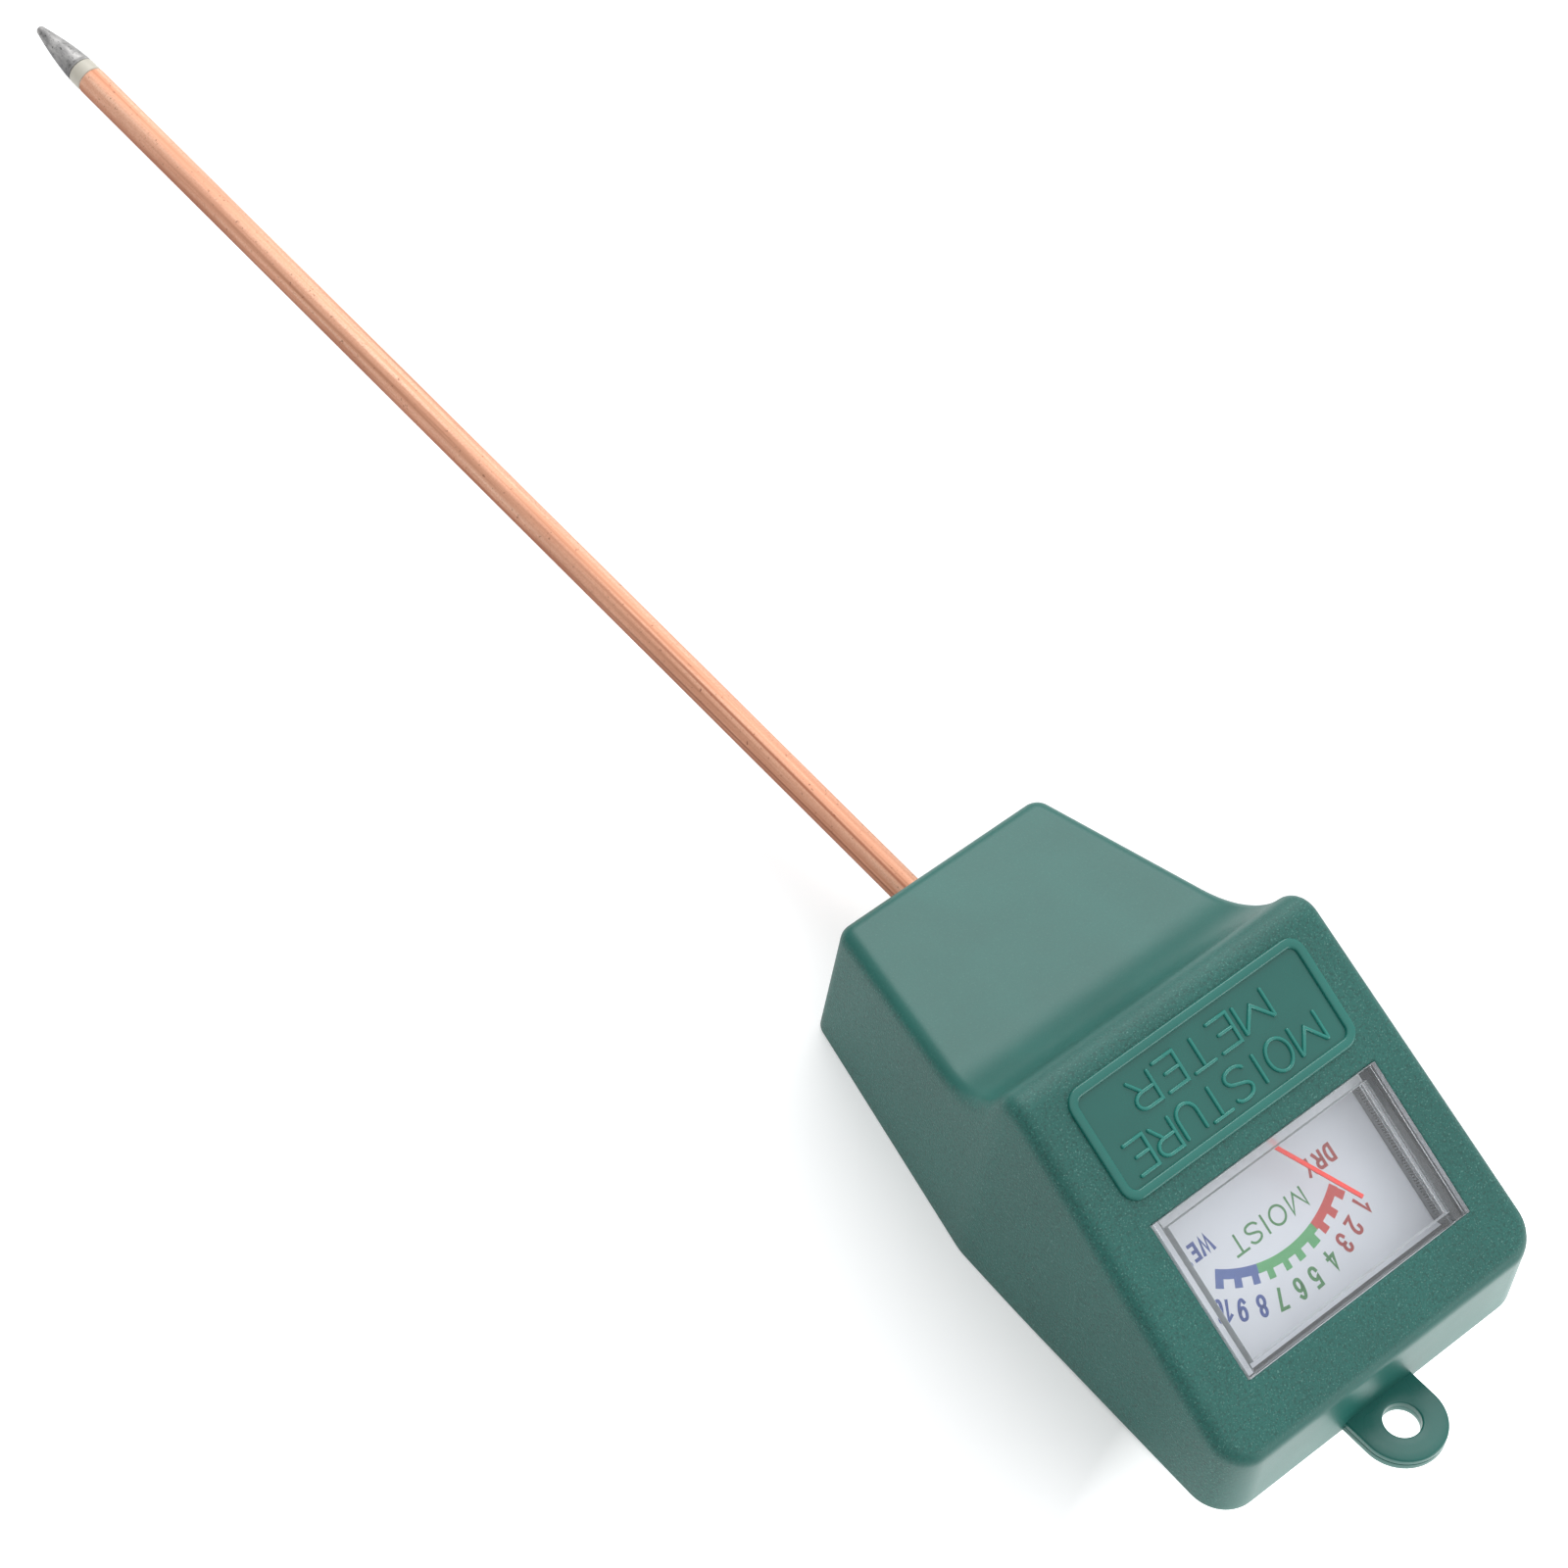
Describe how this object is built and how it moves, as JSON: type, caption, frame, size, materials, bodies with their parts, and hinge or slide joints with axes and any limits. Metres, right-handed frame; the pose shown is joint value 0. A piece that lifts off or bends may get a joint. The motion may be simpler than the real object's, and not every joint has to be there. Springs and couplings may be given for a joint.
{
  "type": "soil moisture meter",
  "caption": "Probe-type soil moisture meter: green sloping housing with a windowed needle dial, copper probe with an insulated metal point, and a hang tab.",
  "frame": {"origin": "middle of the flat lower part of the back, which the meter rests on", "axes": "+X to the reader's right, +Y from the probe towards the hang tab, +Z out of the dial side; the meter lies on its back"},
  "size_m": [0.0656, 0.3406, 0.0428],
  "materials": {
    "green_plastic": "fine spark texture, glossier on raised edges",
    "copper": "drawn copper tube, long streaks",
    "ring_plastic": "moulded off-white",
    "zinc": "dull cast zinc",
    "sleeve_plastic": "extruded",
    "bush_plastic": "moulded nylon",
    "fibre": "red vulcanised fibre",
    "brass": "stamped",
    "steel": "zinc plated",
    "red_insulation": "PVC insulation",
    "black_insulation": "PVC insulation",
    "clear_plastic": "clear polystyrene",
    "grey_plastic": "moulded grey",
    "dial_white": "printed white plate",
    "cast_alloy": "die cast",
    "soft_iron": "machined soft iron",
    "magnet": "sintered magnet",
    "jewel": "polished synthetic jewel",
    "aluminium": "thin sheet",
    "spring_bronze": "flat bronze strip",
    "coil_copper": "enamelled copper wire",
    "orange_needle": "orange enamel"
  },
  "bodies": {
    "case": {"front_housing": "green_plastic", "rear_cover": "green_plastic", "cover_screws": "steel", "probe_tube": "copper", "tip_insulator": "ring_plastic", "probe_tip": "zinc", "probe_sleeve": "sleeve_plastic", "core_rod": "zinc", "probe_bush": "bush_plastic", "insulating_washer": "fibre", "tube_terminal": "brass", "rod_terminal": "brass", "rod_nut": "steel", "red_lead": "red_insulation", "black_lead": "black_insulation", "meter_lens": "clear_plastic", "meter_base": "grey_plastic", "meter_screws": "steel", "terminal_pins": "brass", "dial_plate": "dial_white", "movement_frame": "cast_alloy", "movement_screws": "steel", "yoke_ring": "soft_iron", "core_magnet": "magnet", "core_pin": "brass", "top_bridge": "brass", "bridge_screws": "steel", "top_jewel": "jewel", "bottom_jewel": "jewel", "lower_hairspring": "spring_bronze"},
    "moving_coil": {"coil_frame": "aluminium", "coil_winding": "coil_copper", "coil_pivots": "steel", "pointer_hub": "aluminium", "balance_weights": "brass", "pointer": "orange_needle"},
    "zero_adjuster": {"zero_arm": "aluminium", "upper_hairspring": "spring_bronze"}
  },
  "joints": [
    {"name": "pointer_swing", "type": "hinge", "parent": "case", "child": "moving_coil", "pos_m": [0.0006, 0.02911, 0.02232], "axis": [0, -0.441, -0.8975], "range_deg": [-2.5, 64.5], "stiffness_Nm_per_rad": 0.00005},
    {"name": "zero_set", "type": "hinge", "parent": "case", "child": "zero_adjuster", "pos_m": [0.0006, 0.03284, 0.02991], "axis": [0, -0.441, -0.8975], "range_deg": [-12, 12]}
  ]
}
